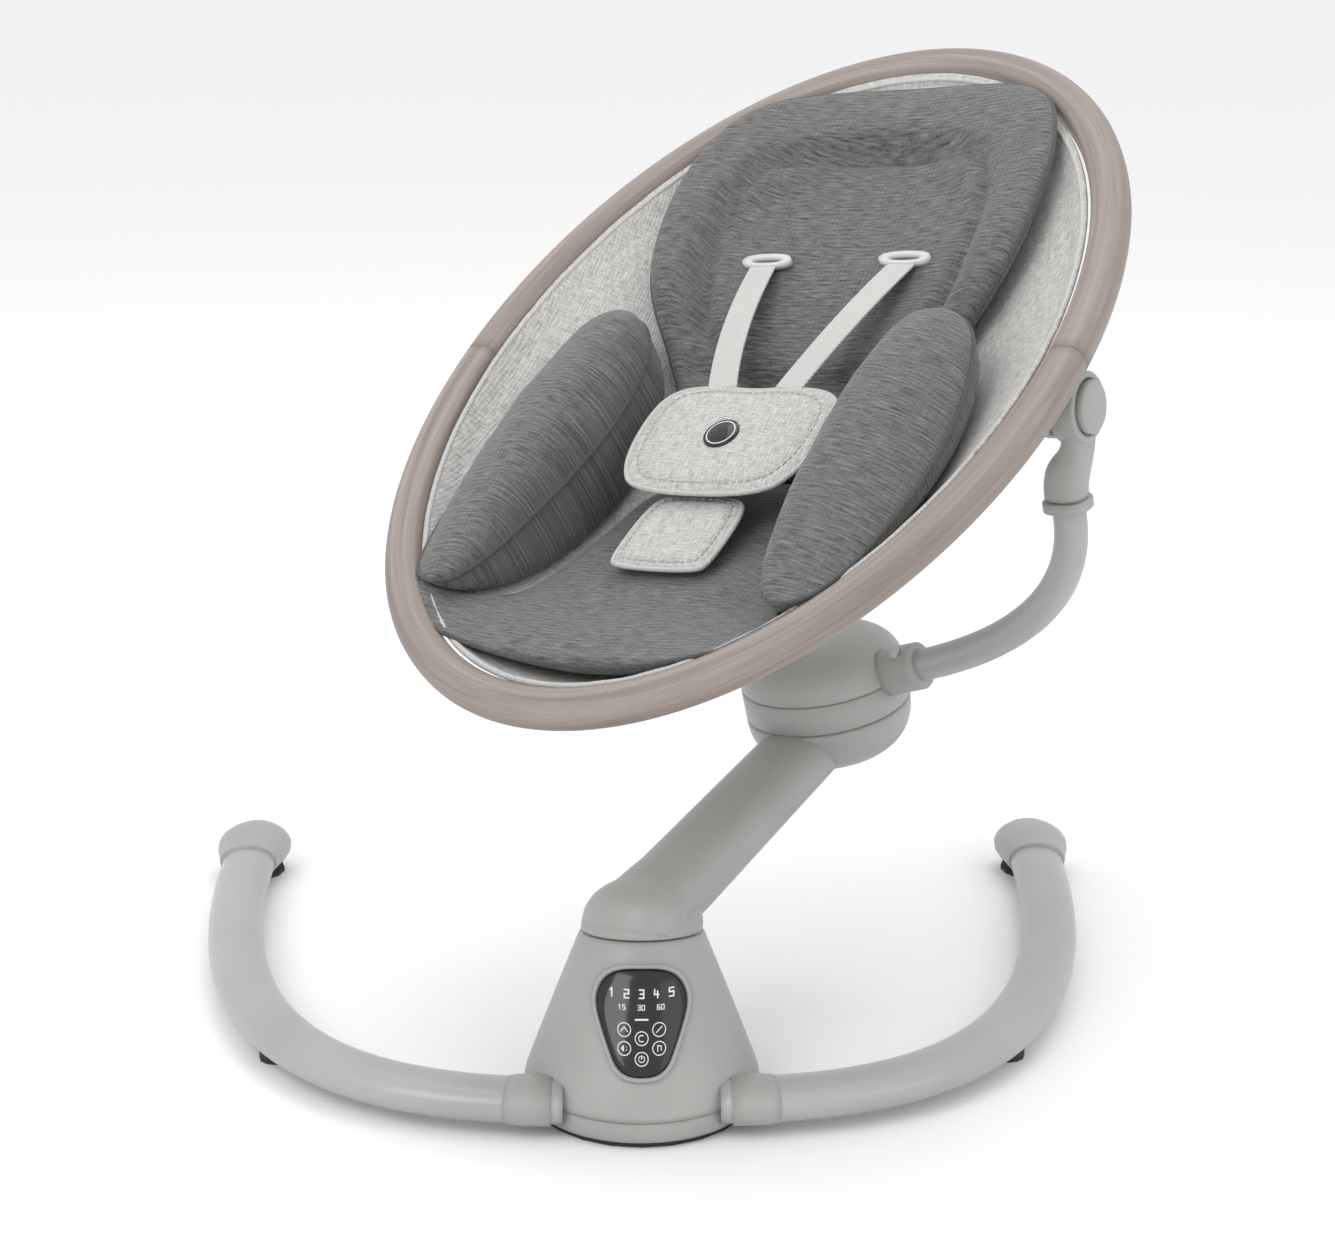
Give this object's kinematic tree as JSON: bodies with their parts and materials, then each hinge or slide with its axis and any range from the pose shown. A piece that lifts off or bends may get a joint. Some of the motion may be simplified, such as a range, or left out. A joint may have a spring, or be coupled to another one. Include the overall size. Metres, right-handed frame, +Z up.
{
  "type": "baby swing",
  "caption": "Electric baby swing: C-shaped floor base with a drive hub, a sweeping stem, a two-arm fork and an oval padded seat with a harness.",
  "frame": {"origin": "on the floor, middle of the hub's foot pad", "axes": "+Z up, front of the swing towards -Y, +X to the right seen from the front"},
  "size_m": [0.624, 0.5111, 0.5947],
  "materials": {
    "grey_plastic": "satin light warm grey",
    "tube_paint": "satin light grey paint",
    "wood_print": "satin wood-grain print",
    "dark_fabric": "dark grey melange knit",
    "light_fabric": "light grey melange weave",
    "webbing": "off-white herringbone webbing",
    "black_gloss": "gloss",
    "rubber": "matt",
    "steel": "brushed",
    "circuit_board": "satin"
  },
  "bodies": {
    "base": {"hub_cover": "grey_plastic", "hub_floor": "grey_plastic", "hub_foot_pad": "rubber", "bearing": "steel", "panel_bezel": "tube_paint", "control_panel": "black_gloss", "circuit_board": "circuit_board", "power_inlet": "black_gloss", "speaker": "rubber", "drive_motor": "steel", "right_leg": "tube_paint", "right_leg_cap": "grey_plastic", "right_cap_foot": "rubber", "right_bend_foot": "rubber", "left_leg": "tube_paint", "left_leg_cap": "grey_plastic", "left_cap_foot": "rubber", "left_bend_foot": "rubber"},
    "pinion": {"drive_pinion": "steel"},
    "swing_arm": {"stem": "grey_plastic", "stem_shaft": "steel", "stem_gear": "steel", "housing_lower": "grey_plastic", "housing_top": "grey_plastic", "right_fork_tube": "tube_paint", "right_arm": "grey_plastic", "right_arm_collar": "grey_plastic", "right_button_spring": "steel", "left_fork_tube": "tube_paint", "left_arm": "grey_plastic", "left_arm_collar": "grey_plastic", "left_button_spring": "steel"},
    "right_snap": {"right_snap_button": "steel"},
    "left_snap": {"left_snap_button": "steel"},
    "right_recline": {"right_recline_button": "grey_plastic"},
    "left_recline": {"left_recline_button": "grey_plastic"},
    "seat": {"ring_upper_half": "wood_print", "ring_lower_half": "wood_print", "seat_liner": "light_fabric", "back_cushion": "dark_fabric", "seat_cushion": "dark_fabric", "belly_pad": "light_fabric", "pad_badge": "black_gloss", "harness_buckle": "grey_plastic", "crotch_pad": "light_fabric", "right_ring_bracket": "grey_plastic", "right_pivot_pin": "steel", "right_wing_cushion": "dark_fabric", "right_strap_guide": "webbing", "right_shoulder_strap": "webbing", "left_ring_bracket": "grey_plastic", "left_pivot_pin": "steel", "left_wing_cushion": "dark_fabric", "left_strap_guide": "webbing", "left_shoulder_strap": "webbing"},
    "buckle_press": {"buckle_button": "black_gloss"}
  },
  "joints": [
    {"name": "swing", "type": "hinge", "parent": "base", "child": "swing_arm", "pos_m": [0, 0.0265, 0.099], "axis": [0, 0.1736, 0.9848], "range_deg": [0, 73]},
    {"name": "pinion_spin", "type": "hinge", "parent": "base", "child": "pinion", "pos_m": [-0.03198, 0.02187, 0.06631], "axis": [0, 0.1736, 0.9848], "range_deg": [-219.5, 0.5]},
    {"name": "recline", "type": "hinge", "parent": "swing_arm", "child": "seat", "pos_m": [0.08374, 0.19249, 0.38866], "axis": [0.8039, -0.5858, 0.1033], "range_deg": [-12, 12]},
    {"name": "right_recline_press", "type": "slide", "parent": "swing_arm", "child": "right_recline", "axis": [-0.8039, 0.5858, -0.1033], "range_m": [0, 0.003], "stiffness_N_per_m": 900},
    {"name": "left_recline_press", "type": "slide", "parent": "swing_arm", "child": "left_recline", "axis": [0.8039, -0.5858, 0.1033], "range_m": [0, 0.003], "stiffness_N_per_m": 900},
    {"name": "right_snap_press", "type": "slide", "parent": "swing_arm", "child": "right_snap", "axis": [0.6181, 0.3407, -0.7084], "range_m": [0, 0.003], "stiffness_N_per_m": 900},
    {"name": "left_snap_press", "type": "slide", "parent": "swing_arm", "child": "left_snap", "axis": [0.2578, 0.6033, -0.7547], "range_m": [0, 0.003], "stiffness_N_per_m": 900},
    {"name": "buckle_release", "type": "slide", "parent": "seat", "child": "buckle_press", "axis": [0.398, 0.4007, -0.8253], "range_m": [0, 0.0015], "stiffness_N_per_m": 900}
  ],
  "couplings": [
    {"joint": "pinion_spin", "follows": "swing", "ratio": -3}
  ]
}
